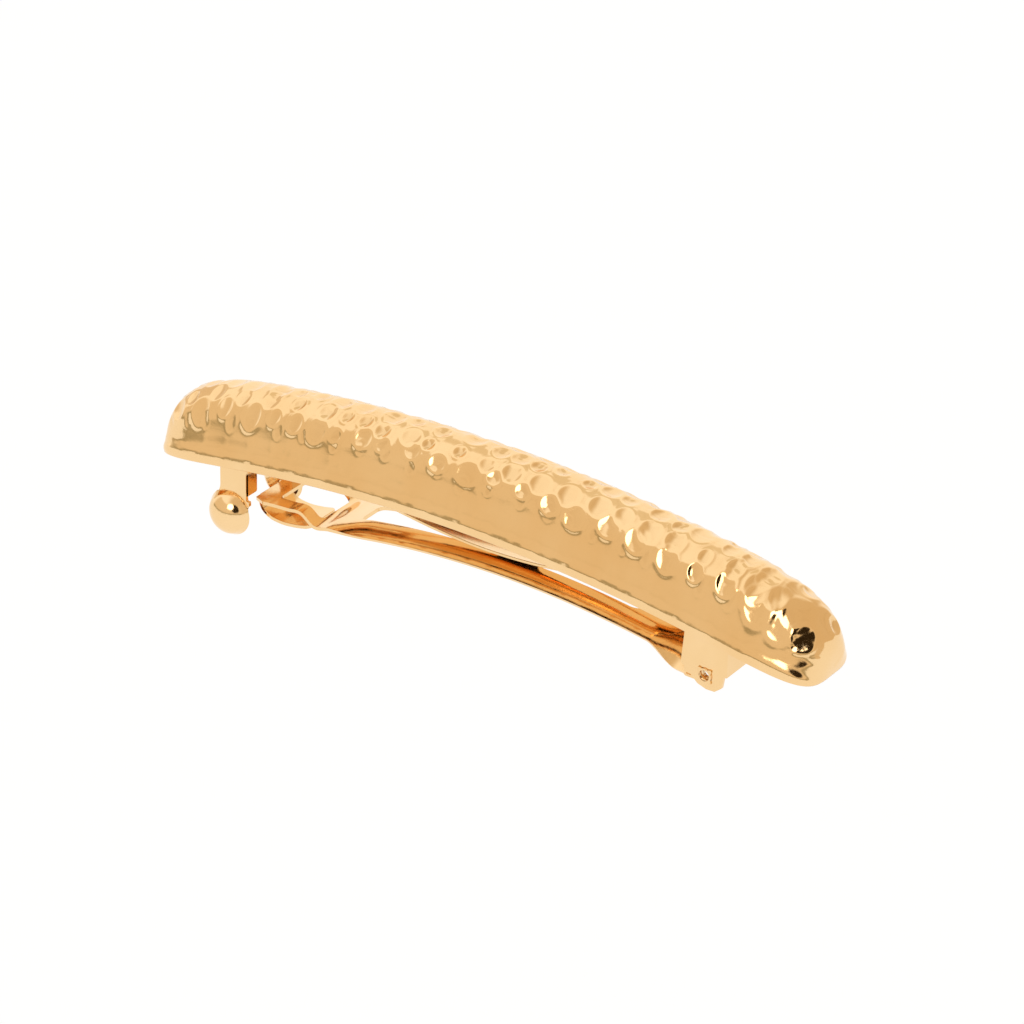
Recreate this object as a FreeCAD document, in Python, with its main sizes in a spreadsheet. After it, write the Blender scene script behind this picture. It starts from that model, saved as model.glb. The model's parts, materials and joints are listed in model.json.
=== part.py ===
"""Arched French barrette: a hammered metal cover over a spring hair clip.

+X runs along the barrette from the catch to the hinge, +Y across it, +Z up.
The origin is under the middle of the cover, level with the lowest point of the thumb grips.
"""
import FreeCAD, Part

import math
import os

from FreeCAD import Placement, Rotation, Vector

DIMENSIONS = {
    "cover_length": 85.0,
    "cover_width": 11.3,
    "cover_height": 7.6,
    "cover_wall": 0.6,
    "arch_radius": 190.0,
    "rim_level": 11.3,
    "sheet": 0.4,
    "clip_half_width": 4.85,
    "base_rise": 0.6,
    "base_left": -33.0,
    "base_right": 32.6,
    "hinge_pos_x": 29.95,
    "hinge_drop": 6.95,
    "hinge_hole_radius": 0.9,
    "turning_clearance": 0.05,
    "eyelet_bore_radius": 0.6,
    "eyelet_flange_radius": 1.25,
    "eyelet_flange": 0.2,
    "ear_left": 27.0,
    "end_plate_drop": 6.4,
    "arm_half_width": 4.35,
    "arm_radius": 112.0,
    "arm_crest_x": 5.5,
    "arm_crest_drop": 4.0,
    "slot_half_width": 1.75,
    "head_foot_x": -20.4,
    "nose_x": -28.8,
    "nose_half_width": 3.7,
    "window_half_width": 2.7,
    "window_left": -26.2,
    "belly_half_width": 2.55,
    "bar_sheet": 0.3,
    "bar_half_width": 3.6,
    "bar_left": -25.5,
    "bar_right": 25.0,
    "bar_middle_x": 0.9,
    "bar_middle_drop": 2.75,
    "bar_end_drop": 0.3,
    "post_radius": 1.1,
    "post_head_radius": 1.6,
    "post_head": 0.35,
    "post_pos_x": 14.0,
    "finger_left": -32.7,
    "finger_right": -29.2,
    "finger_neck_drop": 5.9,
    "grip_pos_x": -31.5,
    "grip_drop": 8.6,
    "grip_radius": 2.7,
    "grip_bulge": 1.8,
    "flange_depth": 2.0,
    "flange_top_drop": 3.3,
    "flange_bottom_drop": 6.1,
    "lug_drop": 7.15,
}

# Middle of the sheet, as (x, drop below the middle of the cover's rim)
HEAD_LINE = ((-28.8, 6.55), (-26.5, 6.2), (-24.0, 6.0), (-22.2, 5.85), (-20.4, 7.0))
BELLY_LINE = ((-28.8, 6.55), (-29.0, 7.1), (-28.75, 8.2), (-27.7, 8.95), (-26.5, 9.15),
              (-24.5, 9.0), (-22.3, 8.5))

doc = FreeCAD.newDocument("barrette")
sheet = doc.addObject("Spreadsheet::Sheet", "dims")
for row, (alias, value) in enumerate(DIMENSIONS.items(), start=1):
    sheet.set(f"A{row}", alias)
    sheet.set(f"B{row}", str(value))
    sheet.setAlias(f"B{row}", alias)
doc.recompute()


def size(alias):
    """Value of a driving dimension, as the spreadsheet holds it."""
    return float(sheet.get(alias))


def level(drop):
    """Height of a point that lies `drop` below the middle of the cover's rim."""
    return size("rim_level") - drop


def arch_height(x):
    """Height of the cover's rim at x."""
    radius = size("arch_radius")
    return level(radius - math.sqrt(radius ** 2 - x ** 2))


def add_feature(name, shape):
    """Put a finished shape into the document under its node name."""
    feature = doc.addObject("Part::Feature", name)
    feature.Label = name
    feature.Shape = shape
    feature.Placement = Placement()
    return feature


def add_primitive(kind, name, sizes, place):
    """Part primitive whose sizes are bound to the sheet."""
    thing = doc.addObject(kind, name)
    for prop, expression in sizes.items():
        thing.setExpression(prop, expression)
    thing.Placement = place
    return thing


def add_boolean(kind, name, base, tool):
    """Part::Cut or Part::Common of two objects."""
    thing = doc.addObject(kind, name)
    thing.Base = base
    thing.Tool = tool
    return thing


def add_fuse(name, members):
    """Part::MultiFuse of several objects."""
    thing = doc.addObject("Part::MultiFuse", name)
    thing.Shapes = members
    return thing


# --- the cover ---------------------------------------------------------------------------

# Half of the cover's section, as (share of half width, share of height): an upright band at
# the rim, a wall leaning in by about 22 degrees, and a round crown
HALF_SECTION = ((1.0, 0.0), (1.0, 0.07), (0.982, 0.13), (0.9, 0.263), (0.829, 0.395),
                (0.757, 0.526), (0.687, 0.655), (0.592, 0.781), (0.456, 0.883),
                (0.301, 0.9524), (0.141, 0.99), (0.0, 1.0))
END_STATIONS = (1.0, 0.995, 0.985, 0.97, 0.94, 0.9, 0.84, 0.74, 0.6, 0.4, 0.2)


def cover_section(station, inset, skirt):
    """Closed section across the cover at a station from -1 to 1 along it."""
    half_length = size("cover_length") / 2 - inset
    width_share = (1 - (abs(station) * 0.9985) ** 12) ** 0.25
    height_share = (1 - (abs(station) * 0.9985) ** 12) ** 0.53
    half_width = (size("cover_width") / 2 - inset) * width_share
    height = (size("cover_height") - inset) * height_share
    radius = size("arch_radius")
    turn = station * half_length / radius
    near_half = [(-across, up) for across, up in HALF_SECTION]
    far_half = [(across, up) for across, up in reversed(HALF_SECTION[:-1])]
    points = []
    for across, up in near_half + far_half:
        reach = radius + height * up
        points.append(Vector(reach * math.sin(turn), half_width * across,
                             reach * math.cos(turn) - radius + size("rim_level")))
    curve = Part.BSplineCurve()
    curve.interpolate(points)
    down = Vector(-math.sin(turn), 0, -math.cos(turn)) * skirt
    corners = [points[-1], points[-1] + down, points[0] + down, points[0]]
    return Part.Wire([curve.toShape()] + [Part.makeLine(start, end)
                                          for start, end in zip(corners, corners[1:])])


def cover_solid(inset, skirt):
    """Solid dome `inset` inside the cover's outer surface, reaching `skirt` below its rim."""
    stations = list(END_STATIONS) + [0.0] + [-value for value in reversed(END_STATIONS)]
    sections = [cover_section(station, inset, skirt) for station in stations]
    return Part.makeLoft(sections, True, False)


cavity = cover_solid(size("cover_wall"), 1.0)
cover = cover_solid(0.0, 0.2).cut(cavity)
add_feature("ornamental_shell", cover)


# --- formed strips -----------------------------------------------------------------------

def strip(points, thickness, half_width):
    """Sheet strip: a smooth line of (x, z) points given thickness and width."""
    line = Part.BSplineCurve()
    line.interpolate([Vector(x, 0, z) for x, z in points])
    upper = []
    lower = []
    for index in range(41):
        value = line.FirstParameter + (line.LastParameter - line.FirstParameter) * index / 40
        place = line.value(value)
        along = line.tangent(value)[0]
        normal = Vector(-along.z, 0, along.x).normalize() * (thickness / 2)
        upper.append(place + normal)
        lower.append(place - normal)
    top = Part.BSplineCurve()
    top.interpolate(upper)
    bottom = Part.BSplineCurve()
    bottom.interpolate(lower)
    outline = Part.Wire([top.toShape(), Part.makeLine(upper[-1], lower[-1]),
                         bottom.toShape(), Part.makeLine(lower[0], upper[0])])
    face = Part.Face(outline)
    face.translate(Vector(0, -half_width, 0))
    return face.extrude(Vector(0, 2 * half_width, 0))


def slot_cutter(left, right, half_width, corner):
    """Tall block with rounded corners in plan, from x = left to x = right."""
    block = Part.makeBox(right - left, 2 * half_width, 30, Vector(left, -half_width, -5))
    upright = [edge for edge in block.Edges if abs(edge.tangentAt(0).z) > 0.9]
    return block.makeFillet(corner, upright)


def arm_height(x):
    """Height of the closing arm's sheet at x along its plain arched stretch."""
    radius = size("arm_radius")
    offset = x - size("arm_crest_x")
    return level(size("arm_crest_drop") + radius - math.sqrt(radius ** 2 - offset ** 2))


def side_wall(outline, outer_face, thickness):
    """Upright plate parallel to XZ, from a list of (x, z) corners."""
    corners = [Vector(x, outer_face, z) for x, z in outline]
    face = Part.Face(Part.makePolygon(corners + corners[:1]))
    inward = -math.copysign(thickness, outer_face)
    return face.extrude(Vector(0, inward, 0))


hinge_x = size("hinge_pos_x")
hinge_z = level(size("hinge_drop"))


def arm_tab(side):
    """One of the closing arm's down-turned ears, with its turning hole."""
    outer_face = side * size("arm_half_width")
    web = arm_height(23.0)
    outline = [(20.5, arm_height(20.5)), (22.4, web - 1.4), (24.6, hinge_z - 0.7),
               (26.2, hinge_z - 1.2), (28.6, hinge_z - 1.35), (28.6, arm_height(28.0)),
               (25.0, arm_height(25.0))]
    wall = side_wall(outline, outer_face, size("sheet"))
    inward = Vector(0, -side, 0)
    round_end = Part.makeCylinder(1.6, size("sheet"), Vector(hinge_x, outer_face, hinge_z), inward)
    neck = Part.makeBox(1.6, size("sheet"), 2.6, Vector(28.4, min(outer_face, outer_face - side
                        * size("sheet")), hinge_z - 1.3))
    hole_radius = size("hinge_hole_radius") + size("turning_clearance")
    hole = Part.makeCylinder(hole_radius, 3, Vector(hinge_x, side * 6, hinge_z), inward)
    return wall.fuse([round_end, neck]).cut(hole)


def make_closing_arm():
    """Slotted arched arm: hinge ears at the right, raised head and belly tongue at the left."""
    foot = size("head_foot_x")
    nose = size("nose_x")
    line = [(x, level(drop)) for x, drop in HEAD_LINE]
    line += [(x, arm_height(x)) for x in (-18.5, -14.0, -8.0, -2.0, 4.0, 10.0, 16.0, 22.0, 28.2)]
    body = strip(line, size("sheet"), size("arm_half_width"))
    window = slot_cutter(size("window_left"), foot, size("window_half_width"), 0.6)
    long_slot = slot_cutter(-16.0, 0.8, size("slot_half_width"), 0.8)
    short_slot = slot_cutter(6.2, 20.2, size("slot_half_width"), 1.6)
    body = body.cut([window, long_slot, short_slot])
    for side in (-1, 1):
        taper = Part.Face(Part.makePolygon([
            Vector(nose - 1, side * size("nose_half_width"), 0),
            Vector(nose + 0.3, side * size("nose_half_width"), 0),
            Vector(nose + 2.6, side * 5.2, 0),
            Vector(nose - 1, side * 5.2, 0),
            Vector(nose - 1, side * size("nose_half_width"), 0)]))
        body = body.cut(taper.extrude(Vector(0, 0, 30)))
    belly = [(x, level(drop)) for x, drop in BELLY_LINE]
    tongue = strip(belly, size("sheet"), size("belly_half_width"))
    return body.fuse([tongue, arm_tab(-1), arm_tab(1)]).removeSplitter()


add_feature("closing_arm", make_closing_arm())


def make_tension_bar():
    """Leaf spring that bows down from the base strip towards the closing arm."""
    middle = size("bar_middle_x")
    low = level(size("bar_middle_drop"))
    left = size("bar_left")
    right = size("bar_right")
    clear = size("bar_end_drop")
    line = [(left, arch_height(left) - clear), (-18.0, arch_height(-18.0) - clear),
            (-11.0, low + 0.95), (-5.0, low + 0.28), (middle, low), (7.0, low + 0.3),
            (12.5, low + 1.0), (18.5, arch_height(18.5) - clear),
            (right, arch_height(right) - clear)]
    bar = strip(line, size("bar_sheet"), size("bar_half_width"))
    ends = Part.makeBox(right - left - 0.5, 2 * size("bar_half_width"), 30,
                        Vector(left + 0.25, -size("bar_half_width"), -5))
    upright = [edge for edge in ends.Edges if abs(edge.tangentAt(0).z) > 0.9]
    return bar.common(ends.makeFillet(2.2, upright))


add_feature("tension_bar", make_tension_bar())


# --- base strip with hinge ears and end plate ---------------------------------------------

def base_ear(side):
    """One of the base strip's hinge ears."""
    outline = [(size("ear_left") + 0.4, arch_height(27.5) + 0.6), (size("ear_left"), hinge_z + 0.55),
               (28.1, hinge_z - 0.35), (29.1, hinge_z - 1.25), (30.2, hinge_z - 1.6),
               (31.2, hinge_z - 1.55), (32.0, hinge_z - 0.9), (32.3, hinge_z + 0.9),
               (size("base_right"), arch_height(32.0) + 0.6)]
    wall = side_wall(outline, side * size("clip_half_width"), 0.4)
    hole = Part.makeCylinder(size("hinge_hole_radius"), 3, Vector(hinge_x, side * 6, hinge_z),
                             Vector(0, -side, 0))
    return wall.cut(hole)


def make_base_plate():
    """Arched base strip with hinge ears and the end plate between them."""
    rise = size("base_rise")
    left = size("base_left")
    right = size("base_right")
    steps = [left + (right - left) * index / 12 for index in range(13)]
    plate = strip([(x, arch_height(x) + rise) for x in steps], size("sheet"),
                  size("clip_half_width") - 0.1)
    for slot_left, slot_right in ((-22.5, -17.0), (-10.5, 10.5), (17.0, 21.5)):
        plate = plate.cut(slot_cutter(slot_left, slot_right, 1.5, 1.2))
    for x in (-size("post_pos_x"), size("post_pos_x")):
        plate = plate.cut(Part.makeCylinder(size("post_radius"), 40, Vector(x, 0, -5)))
    end_height = arch_height(right) + rise - level(size("end_plate_drop"))
    end_plate = Part.makeBox(size("sheet"), 2 * size("clip_half_width"), end_height,
                             Vector(right - size("sheet"), -size("clip_half_width"),
                                    level(size("end_plate_drop"))))
    return plate.fuse([base_ear(-1), base_ear(1), end_plate]).removeSplitter()


add_feature("base_plate", make_base_plate())


# --- posts that hold the base strip to the cover ------------------------------------------

def make_post(x):
    """Round post from the crown of the cover through the base strip, headed below it."""
    base_top = arch_height(x) + size("base_rise")
    shank = Part.makeCylinder(size("post_radius"), 20, Vector(x, 0, base_top - size("sheet") / 2))
    shank = shank.common(cavity)
    lower = Part.makeCylinder(size("post_radius"), size("sheet") + 0.3,
                              Vector(x, 0, base_top - size("sheet") / 2 - 0.15))
    head = Part.makeCylinder(size("post_head_radius"), size("post_head"),
                             Vector(x, 0, base_top - size("sheet") / 2 - 0.15 - size("post_head")))
    return shank.fuse([lower, head]).removeSplitter()


add_feature("left_mounting_post", make_post(-size("post_pos_x")))
add_feature("right_mounting_post", make_post(size("post_pos_x")))


# --- hinge eyelets ------------------------------------------------------------------------

def make_eyelet(name, side):
    """Hollow split rivet through one base ear and one arm ear."""
    face = side * size("clip_half_width")
    inward = Rotation(Vector(0, 0, 1), Vector(0, -side, 0))
    outside = Placement(Vector(hinge_x, face + side * size("eyelet_flange"), hinge_z), inward)
    inside_depth = size("clip_half_width") - size("arm_half_width") + size("sheet") + 0.05
    inside = Placement(Vector(hinge_x, face - side * inside_depth, hinge_z), inward)
    flange_sizes = {"Radius": "dims.eyelet_flange_radius", "Height": "dims.eyelet_flange"}
    outer_flange = add_primitive("Part::Cylinder", name + "_outer_flange", flange_sizes, outside)
    inner_flange = add_primitive("Part::Cylinder", name + "_inner_flange", flange_sizes, inside)
    tube_length = "dims.clip_half_width - dims.arm_half_width + dims.sheet + 2 * dims.eyelet_flange"
    tube = add_primitive("Part::Cylinder", name + "_tube",
                         {"Radius": "dims.hinge_hole_radius", "Height": tube_length}, outside)
    bore_place = Placement(Vector(hinge_x, face + side * 1, hinge_z), inward)
    bore = add_primitive("Part::Cylinder", name + "_bore",
                         {"Radius": "dims.eyelet_bore_radius", "Height": "dims.sheet * 8"}, bore_place)
    solid = add_fuse(name + "_solid", [outer_flange, inner_flange, tube])
    eyelet = add_boolean("Part::Cut", name, solid, bore)
    eyelet.Label = name
    return eyelet


make_eyelet("near_hinge_eyelet", -1)
make_eyelet("far_hinge_eyelet", 1)


# --- catch fingers ------------------------------------------------------------------------

def make_finger(side):
    """Spring finger of the catch: plate, inward flange, hook lug and domed thumb grip."""
    face = side * size("clip_half_width")
    thickness = size("sheet")
    left = size("finger_left")
    right = size("finger_right")
    top = arch_height(left) + size("base_rise") - size("sheet") / 2 - 0.05
    neck = level(size("finger_neck_drop"))
    inner = face - side * thickness
    plate = Part.makeBox(right - left, thickness, top - neck + 1.2,
                         Vector(left, min(face, inner), neck - 1.2))
    flange_height = size("flange_bottom_drop") - size("flange_top_drop")
    flange_low = min(face, face - side * size("flange_depth"))
    flange = Part.makeBox(thickness, size("flange_depth"), flange_height,
                          Vector(right - thickness, flange_low, level(size("flange_bottom_drop"))))
    centre = Vector(size("grip_pos_x"), face, level(size("grip_drop")))
    radius = size("grip_radius")
    bulge = size("grip_bulge")
    ball_radius = (radius ** 2 + bulge ** 2) / (2 * bulge)
    outward = Vector(0, side, 0)
    ball_centre = centre + outward * (bulge - ball_radius)
    ball = Part.makeSphere(ball_radius, ball_centre)
    hollow = Part.makeSphere(ball_radius - thickness, ball_centre)
    keep = Part.makeCylinder(radius + 1, bulge + 1, centre, outward)
    dome = ball.cut(hollow).common(keep)
    ring = Part.makeCylinder(radius, thickness, centre, outward * -1)
    ring = ring.cut(Part.makeCylinder(radius - thickness, thickness, centre, outward * -1))
    inner_disc = Part.makeCylinder(radius - thickness, thickness * 2, centre, outward * -1)
    plate = plate.cut(inner_disc)
    lug = Part.makeBox(0.9, thickness, 0.6, Vector(right - 0.5, min(face, inner),
                       level(size("lug_drop"))))
    return plate.fuse([flange, dome, ring, lug]).removeSplitter()


add_feature("near_catch_finger", make_finger(-1))
add_feature("far_catch_finger", make_finger(1))


# --- write every node ----------------------------------------------------------------------

NODES = ["ornamental_shell", "base_plate", "left_mounting_post", "right_mounting_post",
         "tension_bar", "closing_arm", "near_hinge_eyelet", "far_hinge_eyelet",
         "near_catch_finger", "far_catch_finger"]

doc.recompute()
for thing in doc.Objects:
    if "Invalid" in thing.State or "Error" in thing.State:
        raise RuntimeError(f"{thing.Label} failed: {thing.State}")

os.makedirs("parts", exist_ok=True)
for node in NODES:
    shape = doc.getObjectsByLabel(node)[0].Shape
    if shape.isNull() or not shape.isValid() or len(shape.Solids) != 1:
        raise RuntimeError(f"{node}: null, invalid or {len(shape.Solids)} solids")
    shape.exportStep(f"parts/{node}.step")
    print(node, round(shape.Volume, 2), shape.BoundBox)
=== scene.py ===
"""Looks of the hammered gold French barrette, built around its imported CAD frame."""

import json
import math
import random

import bmesh
import bpy
import numpy as np
from mathutils import Matrix, Vector, noise


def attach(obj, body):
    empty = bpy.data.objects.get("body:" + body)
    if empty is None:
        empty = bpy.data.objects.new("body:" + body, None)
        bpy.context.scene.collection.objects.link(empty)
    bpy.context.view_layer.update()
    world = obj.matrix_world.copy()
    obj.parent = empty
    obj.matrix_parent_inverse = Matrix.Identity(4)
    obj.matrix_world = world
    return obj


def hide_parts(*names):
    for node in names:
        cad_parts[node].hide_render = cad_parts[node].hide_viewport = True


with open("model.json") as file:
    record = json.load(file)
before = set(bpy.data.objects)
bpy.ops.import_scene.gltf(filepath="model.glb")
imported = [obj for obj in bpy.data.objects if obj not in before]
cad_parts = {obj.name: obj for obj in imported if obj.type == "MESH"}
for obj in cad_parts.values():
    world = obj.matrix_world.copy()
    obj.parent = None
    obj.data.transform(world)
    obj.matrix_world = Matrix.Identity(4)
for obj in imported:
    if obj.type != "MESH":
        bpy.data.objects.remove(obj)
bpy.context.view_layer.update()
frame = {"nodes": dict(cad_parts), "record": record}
MM = 0.001

# --- materials ------------------------------------------------------------------------------


def gold(name, light, deep, rough, grain_stretch, grain_bump, painted_hollow_shade=0.0):
    """Polished gold plating: tone drifts, roughness is uneven, a fine grain breaks the gloss, and
    painted shade can darken its hollows.
    """
    material = bpy.data.materials.new(name)
    material.use_nodes = True
    nodes = material.node_tree.nodes
    link = material.node_tree.links.new
    shader = nodes["Principled BSDF"]
    shader.inputs["Metallic"].default_value = 1.0
    place = nodes.new("ShaderNodeTexCoord")

    drift = nodes.new("ShaderNodeTexNoise")
    drift.inputs["Scale"].default_value = 160.0
    drift.inputs["Detail"].default_value = 3.0
    link(place.outputs["Object"], drift.inputs["Vector"])
    tone = nodes.new("ShaderNodeValToRGB")
    tone.color_ramp.elements[0].position = 0.3
    tone.color_ramp.elements[0].color = (*deep, 1)
    tone.color_ramp.elements[1].position = 0.7
    tone.color_ramp.elements[1].color = (*light, 1)
    link(drift.outputs["Fac"], tone.inputs["Fac"])
    colour = tone.outputs["Color"]
    # Painted shade: concave hollows, found by low pointiness, get a darker, warmer base colour
    if painted_hollow_shade:
        geometry = nodes.new("ShaderNodeNewGeometry")
        shade = nodes.new("ShaderNodeValToRGB")
        shade.color_ramp.elements[0].position = 0.44
        shade.color_ramp.elements[0].color = (1 - painted_hollow_shade, 1 - painted_hollow_shade * 1.2, 1 - painted_hollow_shade * 1.5, 1)
        shade.color_ramp.elements[1].position = 0.5
        shade.color_ramp.elements[1].color = (1, 1, 1, 1)
        link(geometry.outputs["Pointiness"], shade.inputs["Fac"])
        darken = nodes.new("ShaderNodeMix")
        darken.data_type = "RGBA"
        darken.blend_type = "MULTIPLY"
        darken.inputs["Factor"].default_value = 1.0
        link(colour, darken.inputs["A"])
        link(shade.outputs["Color"], darken.inputs["B"])
        colour = darken.outputs["Result"]
    link(colour, shader.inputs["Base Color"])

    stretch = nodes.new("ShaderNodeMapping")
    stretch.inputs["Scale"].default_value = grain_stretch
    link(place.outputs["Object"], stretch.inputs["Vector"])
    grain = nodes.new("ShaderNodeTexNoise")
    grain.inputs["Scale"].default_value = 4500.0
    grain.inputs["Detail"].default_value = 4.0
    link(stretch.outputs["Vector"], grain.inputs["Vector"])
    uneven = nodes.new("ShaderNodeMapRange")
    uneven.inputs["From Min"].default_value = 0.3
    uneven.inputs["From Max"].default_value = 0.7
    uneven.inputs["To Min"].default_value = rough[0]
    uneven.inputs["To Max"].default_value = rough[1]
    link(grain.outputs["Fac"], uneven.inputs["Value"])
    link(uneven.outputs["Result"], shader.inputs["Roughness"])
    bump = nodes.new("ShaderNodeBump")
    bump.inputs["Strength"].default_value = grain_bump
    bump.inputs["Distance"].default_value = 0.00001
    link(grain.outputs["Fac"], bump.inputs["Height"])
    link(bump.outputs["Normal"], shader.inputs["Normal"])
    return material


GOLDS = {
    # The hammered cover's gold has painted shade in its dents (the last number)
    "hammered_gold": gold("hammered_gold", (0.93, 0.65, 0.34), (0.90, 0.60, 0.29), (0.05, 0.13),
                          (1, 1, 1), 0.25, 0.35),
    "sheet_gold": gold("sheet_gold", (0.94, 0.66, 0.35), (0.90, 0.61, 0.30), (0.07, 0.16),
                       (0.12, 1, 1), 0.3),
    "spring_gold": gold("spring_gold", (0.94, 0.67, 0.36), (0.90, 0.62, 0.31), (0.09, 0.18),
                        (0.08, 1, 1), 0.35),
    "rivet_gold": gold("rivet_gold", (0.93, 0.65, 0.34), (0.87, 0.58, 0.28), (0.07, 0.16),
                       (1, 1, 1), 0.2),
}
SLOT_OF = {part["node"]: part["material_slot"] for part in frame["record"]["subparts"]}


def wear(piece, slot):
    """Give a piece the finish of one of the record's slots."""
    piece.data.materials.clear()
    piece.data.materials.append(GOLDS[slot])


# --- the hammered cover ---------------------------------------------------------------------

LENGTH, WIDTH, HEIGHT, WALL = 85.0, 11.3, 7.6, 0.6
ARCH_RADIUS = 190.0
RIM_LEVEL = 11.3
SKIRT = 0.2
LIP_EASE = 0.12
ALONG, OVER, UNDER = 640, 161, 41
DRIFT_STEP = 8
# Half of the section, as (share of half width, share of height), from the rim to the crown
HALF_SECTION = ((1.0, 0.0), (1.0, 0.07), (0.982, 0.13), (0.9, 0.263), (0.829, 0.395),
                (0.757, 0.526), (0.687, 0.655), (0.592, 0.781), (0.456, 0.883),
                (0.301, 0.9524), (0.141, 0.99), (0.0, 1.0))


def smooth_curve(points, count=800):
    """Smooth curve through (x, z) points, as two arrays."""
    xs, zs = np.array(points, dtype=float).T
    slopes = np.gradient(zs, xs)
    fine = np.linspace(xs[0], xs[-1], count)
    index = np.clip(np.searchsorted(xs, fine) - 1, 0, len(xs) - 2)
    span = xs[index + 1] - xs[index]
    t = (fine - xs[index]) / span
    return fine, (zs[index] * (1 + 2 * t) * (1 - t) ** 2 + slopes[index] * span * t * (1 - t) ** 2
                  + zs[index + 1] * t * t * (3 - 2 * t) - slopes[index + 1] * span * t * t * (1 - t))


def even_section(count):
    """The whole section as count (across, up) shares, evenly spaced round its girth."""
    half = np.array(HALF_SECTION)
    knots = np.concatenate([[0], np.cumsum(np.hypot(np.diff(half[:, 0]) * WIDTH / 2,
                                                    np.diff(half[:, 1]) * HEIGHT))])
    run, across = smooth_curve(list(zip(knots, half[:, 0])))
    _, up = smooth_curve(list(zip(knots, half[:, 1])))
    even = np.linspace(0, run[-1], count // 2 + 1)
    across, up = np.interp(even, run, across), np.interp(even, run, np.minimum(up, 1.0))
    return (np.concatenate([-across, across[-2::-1]]), np.concatenate([up, up[-2::-1]]), run[-1])


def even_stations(count):
    """Stations from end to end, evenly spaced round the cover's outline in plan."""
    fine = 1 - (1 - np.linspace(0, 1, 4000)) ** 4
    x = fine * LENGTH / 2
    y = WIDTH / 2 * np.maximum(1 - fine ** 12, 1e-7) ** 0.25
    run = np.concatenate([[0], np.cumsum(np.hypot(np.diff(x), np.diff(y)))])
    half = np.interp(np.linspace(0, run[-1], count // 2 + 1), run, fine)
    return np.concatenate([-half[:0:-1], half])


def cover_grid(stations, across, up, inset=0.0, drop=0.0):
    """Points of the cover's smooth surface in millimetres, one row for each station."""
    share = np.maximum(1 - np.abs(stations) ** 12, 1e-7)[:, None]
    turn = (stations * (LENGTH / 2 - inset) / ARCH_RADIUS)[:, None]
    reach = ARCH_RADIUS + (HEIGHT - inset) * share ** 0.53 * up[None, :] - drop
    y = (WIDTH / 2 - inset) * share ** 0.25 * across[None, :]
    return np.stack([reach * np.sin(turn), np.broadcast_to(y, reach.shape),
                     reach * np.cos(turn) - ARCH_RADIUS + RIM_LEVEL], axis=-1)


# Rows of hammer blows: (girth from the crown, pitch, radius along, radius round, depth)
HAMMER_ROWS = ((0.0, 2.9, 1.1, 1.05, 0.27), (2.1, 3.0, 1.1, 1.05, 0.28),
               (4.0, 3.1, 1.15, 1.05, 0.24), (5.2, 3.2, 0.6, 0.8, 0.08),
               (6.9, 2.9, 1.5, 2.2, 0.03))


def hammer_marks(half_girth):
    """Hammer blows: (position along, girth from the crown, radii along and round, depth)."""
    dice = random.Random(11)
    marks = []
    for side in (-1, 1):
        for level, pitch, along, around, depth in HAMMER_ROWS:
            if side > 0 and level == 0.0:
                continue
            x = -LENGTH / 2 + 2.2 + dice.uniform(0, pitch)
            while x < LENGTH / 2 - 1.2:
                grow = dice.uniform(0.7, 1.25) * (1.3 if x > 33 and level < 5 else 1.0)
                girth = min(level + dice.uniform(-0.45, 0.45), half_girth - 1.6)
                marks.append((x, side * girth, along * grow, around * grow,
                              depth * dice.uniform(0.65, 1.15)))
                x += pitch * dice.uniform(0.75, 1.3)
    return marks


def band_height(x):
    """Height of the plain band above the rim: wavy, and broader round the hinge end."""
    broad = np.clip((x - 33.0) / 8.0, 0, 1)
    return (1.05 + 1.5 * broad ** 1.5 + 0.14 * np.sin(x * 0.9) + 0.09 * np.sin(x * 2.3 + 1)
            + 0.05 * np.sin(x * 4.1 + 2))


def hammer_relief(outer, normal, stations, across, half_girth):
    """Depth of the hammer blows, and height of the lips round them, at each point."""
    depth = np.zeros(outer.shape[:2])
    lip = np.zeros(outer.shape[:2])
    crown = np.argmin(np.abs(across))
    half = len(across) // 2
    for x, girth, along, around, deep in hammer_marks(half_girth):
        row = int(np.argmin(np.abs(stations * LENGTH / 2 - x)))
        column = int(round(crown + girth / half_girth * half))
        tangent = outer[min(row + 2, len(stations) - 1), column] - outer[max(row - 2, 0), column]
        tangent /= np.linalg.norm(tangent)
        round_tangent = np.cross(normal[row, column], tangent)
        offset = outer - outer[row, column]
        reach = np.sqrt((offset @ tangent / along) ** 2 + (offset @ round_tangent / around) ** 2
                        + (offset @ normal[row, column] / max(along, around)) ** 2)
        depth = np.maximum(depth, deep * np.clip(1 - reach ** 2, 0, 1) ** 1.4)
        lip = np.maximum(lip, 0.25 * deep * np.exp(-((reach - 1.12) / 0.22) ** 2))
    return depth, lip


def slow_drift(outer):
    """Slow unevenness of the surface: noise sampled coarsely, then smoothed."""
    drift = np.array([[noise.noise(Vector(point) * 0.35) for point in line[::DRIFT_STEP]]
                      for line in outer[::DRIFT_STEP]])
    drift = np.kron(drift, np.ones((DRIFT_STEP, DRIFT_STEP)))[:outer.shape[0], :outer.shape[1]]
    for _ in range(6):
        drift[1:-1] = (drift[:-2] + drift[1:-1] * 2 + drift[2:]) / 4
        drift[:, 1:-1] = (drift[:, :-2] + drift[:, 1:-1] * 2 + drift[:, 2:]) / 4
    return drift


def rim_lip(stations, end):
    """Rows of points that close the wall at one side of the rim."""
    turns = [(0.0, SKIRT * 0.5), (LIP_EASE, SKIRT), (WALL - LIP_EASE, SKIRT), (WALL, SKIRT * 0.5)]
    if end < 0:
        turns.reverse()
    return [cover_grid(stations, np.array([end]), np.array([0.0]), inset, drop)
            for inset, drop in turns]


def closed_tube_faces(rows, loop):
    """Quads between neighbouring loops of points, and a cap at each end."""
    faces = []
    for row in range(rows - 1):
        for step in range(loop):
            a = row * loop + step
            b = row * loop + (step + 1) % loop
            faces.append((a, b, b + loop, a + loop))
    faces.append(tuple(reversed(range(loop))))
    faces.append(tuple(range((rows - 1) * loop, rows * loop)))
    return faces


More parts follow.
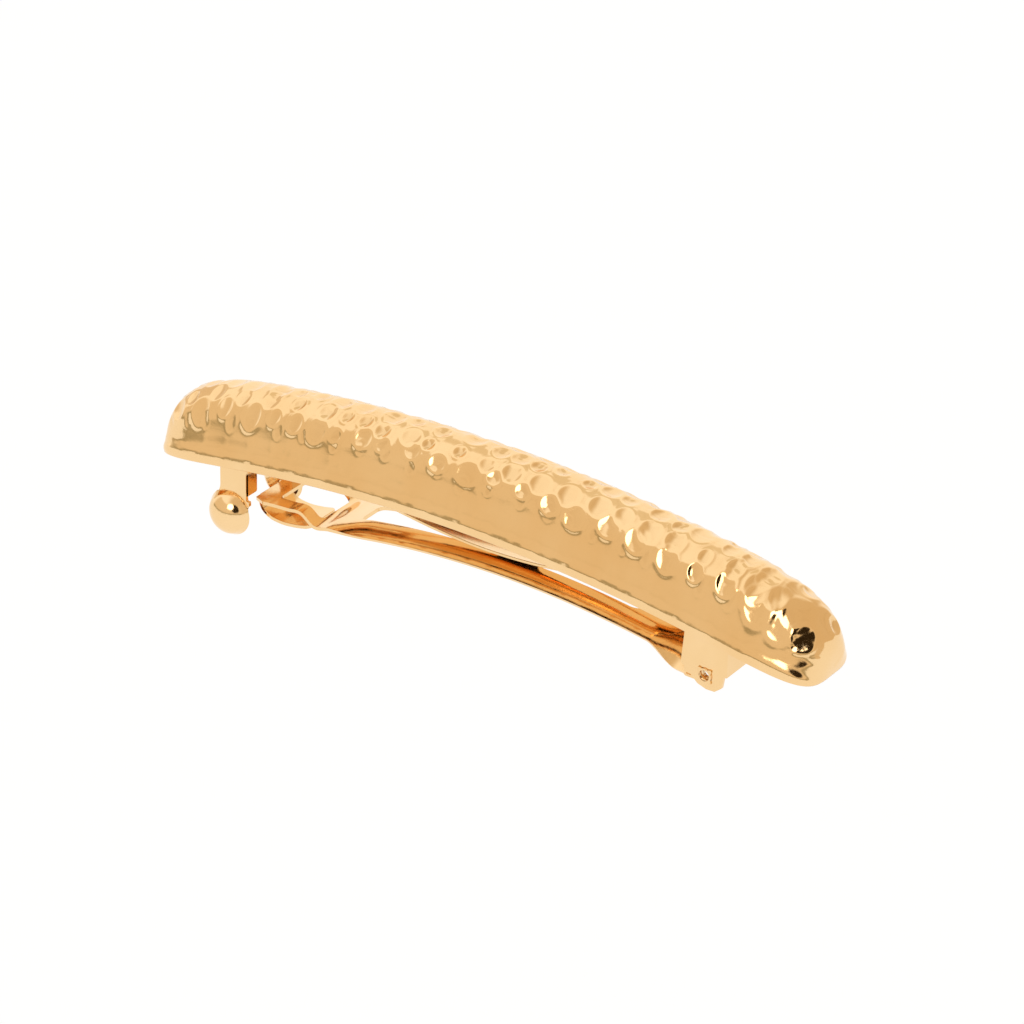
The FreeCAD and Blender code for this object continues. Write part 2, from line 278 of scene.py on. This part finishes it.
def make_cover():
    """Hammered dome of one wall thickness, closed round its rim, with a smooth inside."""
    stations = even_stations(ALONG)
    across, up, half_girth = even_section(OVER)
    outer = cover_grid(stations, across, up)
    inward = cover_grid(stations, across, up, 1.0) - outer
    inward /= np.linalg.norm(inward, axis=-1, keepdims=True)
    depth, lip = hammer_relief(outer, -inward, stations, across, half_girth)

    rim = np.where(across[None, :, None] < 0, outer[:, [0], :], outer[:, [-1], :])
    above_rim = np.minimum(np.linalg.norm(outer - rim, axis=-1), HEIGHT)
    edge = band_height(outer[..., 0])
    hammered = np.clip((above_rim - edge) / 0.8, 0, 1)
    groove = 0.035 * np.exp(-((above_rim - edge) / 0.32) ** 2)
    total = (depth - lip + 0.06 + 0.03 * slow_drift(outer)) * hammered + groove
    outer = outer + inward * np.maximum(total, 0)[..., None]

    under_across, under_up, _ = even_section(UNDER)
    under = cover_grid(stations, under_across, under_up, WALL)[:, ::-1]
    loops = np.concatenate([outer] + rim_lip(stations, 1.0) + [under] + rim_lip(stations, -1.0),
                           axis=1)
    return new_piece("hammered_cover", loops.reshape(-1, 3), closed_tube_faces(*loops.shape[:2]))


def new_piece(name, points, faces):
    """Mesh object from points in millimetres."""
    mesh = bpy.data.meshes.new(name)
    mesh.from_pydata((np.asarray(points) * MM).tolist(), [], faces)
    shape = bmesh.new()
    shape.from_mesh(mesh)
    bmesh.ops.recalc_face_normals(shape, faces=shape.faces)
    shape.to_mesh(mesh)
    shape.free()
    mesh.shade_smooth()
    piece = bpy.data.objects.new(name, mesh)
    bpy.context.collection.objects.link(piece)
    return piece


def settle(piece, slot, body, *nodes):
    """Give a piece its finish, its body and the CAD nodes that it stands for."""
    wear(piece, slot)
    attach(piece, body)
    if nodes:
        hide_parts(*nodes)


settle(make_cover(), "hammered_gold", "cover_and_base", "ornamental_shell")

# --- formed sheet pieces --------------------------------------------------------------------

SHEET = 0.4


def rounded_box(u, v, low, high, corner):
    """Signed distance to a rounded rectangle, negative inside."""
    a = np.abs(u - (low[0] + high[0]) / 2) - (high[0] - low[0]) / 2 + corner
    b = np.abs(v - (low[1] + high[1]) / 2) - (high[1] - low[1]) / 2 + corner
    return np.hypot(np.maximum(a, 0), np.maximum(b, 0)) + np.minimum(np.maximum(a, b), 0) - corner


def centred_box(u, v, left, right, half, corner):
    """Signed distance to a rounded rectangle that lies evenly across v = 0."""
    return rounded_box(u, v, (left, -half), (right, half), corner)


def smooth_join(a, b, blend):
    """Union of two distances with a fillet between them."""
    mix = np.clip(0.5 + 0.5 * (b - a) / blend, 0, 1)
    return b * (1 - mix) + a * mix - blend * mix * (1 - mix)


def formed_sheet(name, outline, low, high, cell, place, thickness=SHEET, eased=0.09):
    """Sheet cut to an outline in its own (u, v) plane, bent by place(u, v), with eased edges."""
    us = np.linspace(low[0], high[0], int((high[0] - low[0]) / cell) + 1)
    vs = np.linspace(low[1], high[1], int((high[1] - low[1]) / cell) + 1)
    u, v = np.meshgrid(us, vs, indexing="ij")
    middle = outline((u[:-1, :-1] + u[1:, 1:]) / 2, (v[:-1, :-1] + v[1:, 1:]) / 2)
    kept = middle < 0
    uses = np.zeros(u.shape, int)
    for shift_u in (0, 1):
        for shift_v in (0, 1):
            uses[shift_u:shift_u + kept.shape[0], shift_v:shift_v + kept.shape[1]] += kept
    border = (uses > 0) & (uses < 4)
    for _ in range(3):
        step = 0.01
        distance = outline(u, v)
        slope_u = (outline(u + step, v) - outline(u - step, v)) / (2 * step)
        slope_v = (outline(u, v + step) - outline(u, v - step)) / (2 * step)
        square = np.maximum(slope_u ** 2 + slope_v ** 2, 0.2)
        u = np.where(border, u - distance * slope_u / square, u)
        v = np.where(border, v - distance * slope_v / square, v)
    number = np.full(u.shape, -1)
    number[uses > 0] = np.arange((uses > 0).sum())
    faces = [(int(number[i, j]), int(number[i + 1, j]), int(number[i + 1, j + 1]),
              int(number[i, j + 1])) for i, j in zip(*np.nonzero(kept))]
    points = np.stack(place(u[uses > 0], v[uses > 0]), axis=-1)
    piece = new_piece(name, points, faces)
    solid = piece.modifiers.new("thickness", "SOLIDIFY")
    solid.thickness = thickness * MM
    solid.offset = 0
    bevel = piece.modifiers.new("eased_edges", "BEVEL")
    bevel.width = eased * MM
    bevel.segments = 2
    bevel.limit_method = "ANGLE"
    bevel.angle_limit = math.radians(60)
    bevel.harden_normals = True
    return piece


def step_up(x, start, end):
    """0 before start, 1 past end, and a smooth step between."""
    t = np.clip((x - start) / (end - start), 0, 1)
    return t * t * (3 - 2 * t)


# --- the closing arm ------------------------------------------------------------------------

ARM_RADIUS = 112
ARM_CREST_X, ARM_CREST_DROP = 5.5, 4.0
ARM_LEFT, ARM_RIGHT, ARM_HALF_WIDTH = -28.8, 28.2, 4.35
NOSE_HALF_WIDTH = 3.7
# Openings, as (left, right, half width, corner radius)
ARM_OPENINGS = ((-26.2, -20.5, 2.7, 0.7), (-16.0, 0.8, 1.75, 0.7), (6.2, 20.2, 1.75, 1.7))
RAIL_INNER, RAIL_WIDTH = 1.75, 2.6
RAIL_CROWN, RAIL_FALL = 0.35, 0.8
FLANK_INNER, FLANK_WIDTH, FLANK_CURL = 0.8, 3.55, 1.75
HINGE_X, HINGE_Z = 29.95, RIM_LEVEL - 6.95
ARM_EAR_Y = 4.15


def arm_arch(x):
    """Height of the arm's sheet along its plain arched stretch."""
    return RIM_LEVEL - ARM_CREST_DROP - ARM_RADIUS + math.sqrt(ARM_RADIUS ** 2 - (x - ARM_CREST_X) ** 2)


HEAD = [(-28.9, RIM_LEVEL - 6.6), (-26.5, RIM_LEVEL - 6.2), (-24.0, RIM_LEVEL - 6.0),
        (-22.2, RIM_LEVEL - 5.88), (-20.5, RIM_LEVEL - 6.95)]
ARM_LINE = smooth_curve(HEAD + [(x, arm_arch(x)) for x in (-18.5, -14, -8, -2, 4, 10, 16, 22, 28.3)])


def arm_outline(x, y):
    """Arm in plan: a rounded blank with a tapered nose and three openings."""
    blank = centred_box(x, y, ARM_LEFT, ARM_RIGHT, ARM_HALF_WIDTH, 0.35)
    nose = (np.abs(y) - NOSE_HALF_WIDTH - (x + 28.5) * 0.55) * 0.87
    openings = [centred_box(x, y, *opening) for opening in ARM_OPENINGS]
    return np.maximum(np.maximum(blank, nose), -np.minimum.reduce(openings))


def arm_place(x, y):
    """Crowned rails, and flanks that curl down towards the hinge."""
    outward = np.clip((np.abs(y) - RAIL_INNER) / RAIL_WIDTH, 0, 1)
    crowned = step_up(x, -19.5, -14) * (1 - step_up(x, 24, 28))
    flank = step_up(x, 22.3, 26.3) * np.clip((np.abs(y) - FLANK_INNER) / FLANK_WIDTH, 0, 1) ** 1.3
    height = np.interp(x, *ARM_LINE) + crowned * (RAIL_CROWN - RAIL_FALL * outward ** 2)
    return x, y, height - FLANK_CURL * flank


def make_arm():
    arm = formed_sheet("slotted_arm", arm_outline, (-29, -4.5), (28.4, 4.5), 0.17, arm_place)
    settle(arm, "sheet_gold", "arm", "closing_arm")


# Middle of the tongue's sheet, as (x, height above the middle of the rim)
TONGUE = np.array([(-28.8, -6.55), (-29.0, -7.1), (-28.75, -8.2), (-27.7, -8.95), (-26.5, -9.15),
                   (-24.5, -9.0), (-22.3, -8.5)])
TONGUE_HALF_WIDTH = 2.55


def make_tongue():
    """Belly tongue, curled back under the arm's head."""
    run = np.concatenate([[0], np.cumsum(np.hypot(*np.diff(TONGUE, axis=0).T))])
    line_x = smooth_curve(list(zip(run, TONGUE[:, 0])))
    line_z = smooth_curve(list(zip(run, TONGUE[:, 1])))
    tongue = formed_sheet(
        "belly_tongue", lambda s, y: centred_box(s, y, -1.0, run[-1], TONGUE_HALF_WIDTH, 0.8),
        (0, -2.7), (run[-1] + 0.1, 2.7), 0.15,
        lambda s, y: (np.interp(s, *line_x), y, RIM_LEVEL + np.interp(s, *line_z)))
    settle(tongue, "sheet_gold", "arm")


def arm_ear_outline(x, z):
    """Arm ear seen from the side: a neck with a round end, and the hole that turns on the eyelet."""
    neck = rounded_box(x, z, (27.1, HINGE_Z - 1.25), (29.95, HINGE_Z + 0.8), 0.3)
    end = np.hypot(x - HINGE_X, z - HINGE_Z) - 1.6
    hole = np.hypot(x - HINGE_X, z - HINGE_Z) - 0.95
    return np.maximum(smooth_join(neck, end, 0.3), -hole)


def make_arm_ear(side, label):
    ear = formed_sheet(f"{label}_arm_ear", arm_ear_outline, (25.4, HINGE_Z - 1.8),
                       (31.7, HINGE_Z + 1.8), 0.13,
                       lambda x, z: (x, np.full_like(x, side * ARM_EAR_Y), z))
    settle(ear, "sheet_gold", "arm")


# --- the tension bar ------------------------------------------------------------------------

BAR_HALF_WIDTH, BAR_SHEET = 3.6, 0.3
BAR_DISH = 0.42
BAR_LINE = smooth_curve([(x, RIM_LEVEL - drop) for x, drop in (
    (-25.3, 2.0), (-18.0, 1.15), (-11.0, 1.8), (-5.0, 2.47), (0.9, 2.75), (7.0, 2.45),
    (12.5, 1.75), (18.5, 1.2), (24.8, 1.93))])


def bar_place(x, y):
    """Bowed along its length, and slightly dished across it."""
    return x, y, np.interp(x, *BAR_LINE) + BAR_DISH * (y / BAR_HALF_WIDTH) ** 2 - BAR_DISH / 2


def make_bar():
    bar = formed_sheet("bowed_bar",
                       lambda x, y: centred_box(x, y, -25.25, 24.75, BAR_HALF_WIDTH, 2.2),
                       (-25.4, -3.7), (24.9, 3.7), 0.2, bar_place, BAR_SHEET)
    settle(bar, "spring_gold", "spring_bar", "tension_bar")


# --- the catch fingers ----------------------------------------------------------------------

GRIP_X, GRIP_Z = -31.5, RIM_LEVEL - 8.6
FINGER_TOP = RIM_LEVEL - 2.5
PLATE_Y = 4.65
DOME_Y, DOME_RADIUS, DOME_BLEND = 3.8, 2.65, 0.8
FLANGE_X = -29.4


def finger_outline(x, z):
    """Finger seen from the side: plate, round grip and the small lug beside it."""
    plate = rounded_box(x, z, (-32.7, RIM_LEVEL - 7.1), (-29.2, FINGER_TOP), 0.1)
    grip = np.hypot(x - GRIP_X, z - GRIP_Z) - 2.51
    lug = rounded_box(x, z, (-29.9, RIM_LEVEL - 7.15), (-28.8, RIM_LEVEL - 6.55), 0.1)
    return np.minimum(smooth_join(plate, grip, 0.9), lug)


def finger_face(x, z):
    """Distance of the sheet's middle from the centre plane: flat plate, then round grip."""
    reach = np.hypot(x - GRIP_X, z - GRIP_Z)
    dome = DOME_Y + np.sqrt(np.maximum(DOME_RADIUS ** 2 - reach ** 2, 0))
    mix = np.clip(0.5 + 0.5 * (dome - PLATE_Y) / DOME_BLEND, 0, 1)
    return PLATE_Y * (1 - mix) + dome * mix


def make_finger(side, label):
    body = f"{label}_finger"
    finger = formed_sheet(f"{body}_sheet", finger_outline, (-34.3, 0.0), (-28.7, FINGER_TOP + 0.1),
                          0.09, lambda x, z: (x, side * finger_face(x, z), z))
    settle(finger, "sheet_gold", body, f"{label}_catch_finger")
    flange = formed_sheet(
        f"{body}_flange",
        lambda y, z: rounded_box(y, z, (2.85, RIM_LEVEL - 6.1), (4.8, RIM_LEVEL - 3.3), 0.25),
        (2.8, RIM_LEVEL - 6.2), (4.9, RIM_LEVEL - 3.2), 0.12,
        lambda y, z: (np.full_like(y, FLANGE_X), side * y, z))
    settle(flange, "sheet_gold", body)


# --- the hinge eyelets ----------------------------------------------------------------------

COLLAR_Y, COLLAR_SHEET = 4.94, 0.14
TUBE_TURNS = 40
# Section of the eyelet's tube, as (radius, distance from the centre plane)
TUBE_SECTION = ((0.66, 4.98), (0.66, 3.8), (0.85, 3.8), (0.85, 4.9))


def eyelet_outline(x, z):
    """Collar split into four prongs round the bore."""
    reach = np.hypot(x - HINGE_X, z - HINGE_Z)
    turn = np.arctan2(z - HINGE_Z, x - HINGE_X)
    collar = reach - 0.84 - 0.3 * np.maximum(-np.cos(4 * turn), 0) ** 2
    return np.maximum(collar, 0.62 - reach)


def make_eyelet(side, label):
    collar = formed_sheet(f"{label}_eyelet_collar", eyelet_outline, (HINGE_X - 1.3, HINGE_Z - 1.3),
                          (HINGE_X + 1.3, HINGE_Z + 1.3), 0.06,
                          lambda x, z: (x, np.full_like(x, side * COLLAR_Y), z), COLLAR_SHEET, 0.03)
    settle(collar, "rivet_gold", "cover_and_base", f"{label}_hinge_eyelet")
    ring = [(HINGE_X + reach * math.cos(2 * math.pi * step / TUBE_TURNS), side * depth,
             HINGE_Z + reach * math.sin(2 * math.pi * step / TUBE_TURNS))
            for reach, depth in TUBE_SECTION for step in range(TUBE_TURNS)]
    walls = []
    for row in range(len(TUBE_SECTION)):
        start = row * TUBE_TURNS
        beyond = (row + 1) % len(TUBE_SECTION) * TUBE_TURNS
        for step in range(TUBE_TURNS):
            following = (step + 1) % TUBE_TURNS
            walls.append((start + step, start + following, beyond + following, beyond + step))
    settle(new_piece(f"{label}_eyelet_tube", ring, walls), "rivet_gold", "cover_and_base")


SIDES = ((-1, "near"), (1, "far"))
make_arm()
make_tongue()
for side, label in SIDES:
    make_arm_ear(side, label)
make_bar()
for side, label in SIDES:
    make_finger(side, label)
for side, label in SIDES:
    make_eyelet(side, label)

# --- pieces that keep their CAD shape -------------------------------------------------------

EASED_EDGE = 0.00008


def ease_edges(piece, width):
    """Softly rounded edges, as stamping and plating leave them."""
    weld = piece.modifiers.new("weld", "WELD")
    weld.merge_threshold = 0.000001
    bevel = piece.modifiers.new("eased_edges", "BEVEL")
    bevel.width = width
    bevel.segments = 2
    bevel.limit_method = "ANGLE"
    bevel.angle_limit = math.radians(40)
    bevel.harden_normals = True


for name in ("base_plate", "left_mounting_post", "right_mounting_post"):
    wear(frame["nodes"][name], SLOT_OF[name])
    ease_edges(frame["nodes"][name], EASED_EDGE)

# --- floor, light and camera, in metres -----------------------------------------------------

FLOOR_HALF = 2
FLOOR_DROP = 0.06
CAMERA_TURN, CAMERA_RISE, CAMERA_ROLL = 34.31, 29.18, 1.36
CAMERA_TARGET, CAMERA_DISTANCE = (0.00237, 0.0, 0.01196), 0.4896
CAMERA_LENS, CAMERA_SENSOR = 164.1, 36.0


def make_floor():
    """Plain pale floor, low enough for the open arm to hang clear of it."""
    mesh = bpy.data.meshes.new("floor")
    corners = [(-FLOOR_HALF, -FLOOR_HALF, 0), (FLOOR_HALF, -FLOOR_HALF, 0),
               (FLOOR_HALF, FLOOR_HALF, 0), (-FLOOR_HALF, FLOOR_HALF, 0)]
    mesh.from_pydata(corners, [], [(0, 1, 2, 3)])
    floor = bpy.data.objects.new("floor", mesh)
    bpy.context.collection.objects.link(floor)
    material = bpy.data.materials.new("floor")
    material.use_nodes = True
    shader = material.node_tree.nodes["Principled BSDF"]
    shader.inputs["Base Color"].default_value = (0.1, 0.1, 0.1, 1)
    shader.inputs["Roughness"].default_value = 1.0
    shader.inputs["Specular IOR Level"].default_value = 0.0
    shader.inputs["Emission Color"].default_value = (1, 1, 1, 1)
    shader.inputs["Emission Strength"].default_value = 0.92
    mesh.materials.append(material)
    floor.location.z = -FLOOR_DROP


def make_world():
    """White studio: bright overhead and behind, quieter in front, with one lamp and a dark lens side."""
    world = bpy.data.worlds.new("studio")
    world.use_nodes = True
    bpy.context.scene.world = world
    nodes = world.node_tree.nodes
    link = world.node_tree.links.new
    place = nodes.new("ShaderNodeTexCoord")
    direction = nodes.new("ShaderNodeVectorMath")
    direction.operation = "NORMALIZE"
    link(place.outputs["Generated"], direction.inputs[0])

    def toward(aim, start, end):
        """0 to 1 as the direction turns towards aim."""
        dot = nodes.new("ShaderNodeVectorMath")
        dot.operation = "DOT_PRODUCT"
        dot.inputs[1].default_value = Vector(aim).normalized()
        link(direction.outputs["Vector"], dot.inputs[0])
        ease = nodes.new("ShaderNodeMapRange")
        ease.interpolation_type = "SMOOTHSTEP"
        ease.inputs["From Min"].default_value = start
        ease.inputs["From Max"].default_value = end
        link(dot.outputs["Value"], ease.inputs["Value"])
        return ease.outputs["Result"]

    def times(a, b):
        product = nodes.new("ShaderNodeMath")
        product.operation = "MULTIPLY"
        link(a, product.inputs[0])
        link(b, product.inputs[1])
        return product.outputs["Value"]

    def blend(under, amount, colour):
        mix = nodes.new("ShaderNodeMix")
        mix.data_type = "RGBA"
        link(amount, mix.inputs["Factor"])
        link(under, mix.inputs["A"])
        mix.inputs["B"].default_value = (*colour, 1)
        return mix.outputs["Result"]

    # The room, then a mid tone overhead for the dents, a warm hinge end, a warm catch end, a warm
    # low front, a dim skirting, a dark lens side and one lamp
    room = nodes.new("ShaderNodeRGB")
    room.outputs[0].default_value = (1.12, 1.1, 1.08, 1)
    front = toward((0, -1, 0), 0.1, 0.35)
    overhead = toward((-0.4, 0.4, 0.82), 0.955, 0.985)
    low = toward((0, 0, -1), -0.66, -0.6)
    level = blend(room.outputs[0], overhead, (0.88, 0.8, 0.66))
    level = blend(level, toward((1, 0, 0.1), -0.2, 0.3), (0.78, 0.64, 0.46))
    level = blend(level, toward((-0.92, 0.3, 0.25), 0.93, 0.97), (0.85, 0.74, 0.6))
    level = blend(level, times(front, low), (0.86, 0.74, 0.58))
    skirting = times(front, toward((0, 0, -1), -0.1, -0.02))
    level = blend(level, skirting, (0.45, 0.4, 0.28))
    level = blend(level, toward((0.586, -0.678, 0.445), 0.93, 0.955), (0.03, 0.02, 0.01))
    level = blend(level, toward((0.183, -0.828, 0.53), 0.968, 0.978), (3.2, 3.1, 3.0))
    link(level, nodes["Background"].inputs["Color"])


def make_camera():
    """Long lens, turned from the front towards the hinge end and looking down."""
    turn, rise, roll = (math.radians(angle) for angle in (CAMERA_TURN, CAMERA_RISE, CAMERA_ROLL))
    ahead = Vector((-math.sin(turn) * math.cos(rise), math.cos(turn) * math.cos(rise), -math.sin(rise)))
    right = Vector((math.cos(turn), math.sin(turn), 0))
    up = right.cross(ahead)
    tilted_right = right * math.cos(roll) + up * math.sin(roll)
    tilted_up = up * math.cos(roll) - right * math.sin(roll)
    data = bpy.data.cameras.new("camera")
    data.lens = CAMERA_LENS
    data.sensor_width = CAMERA_SENSOR
    data.clip_start = 0.01
    camera = bpy.data.objects.new("camera", data)
    place = Vector(CAMERA_TARGET) - ahead * CAMERA_DISTANCE
    axes = Matrix((tilted_right, tilted_up, -ahead)).transposed()
    camera.matrix_world = Matrix.Translation(place) @ axes.to_4x4()
    bpy.context.collection.objects.link(camera)
    bpy.context.scene.camera = camera


make_floor()
make_world()
make_camera()
bpy.context.scene.view_settings.view_transform = "Standard"
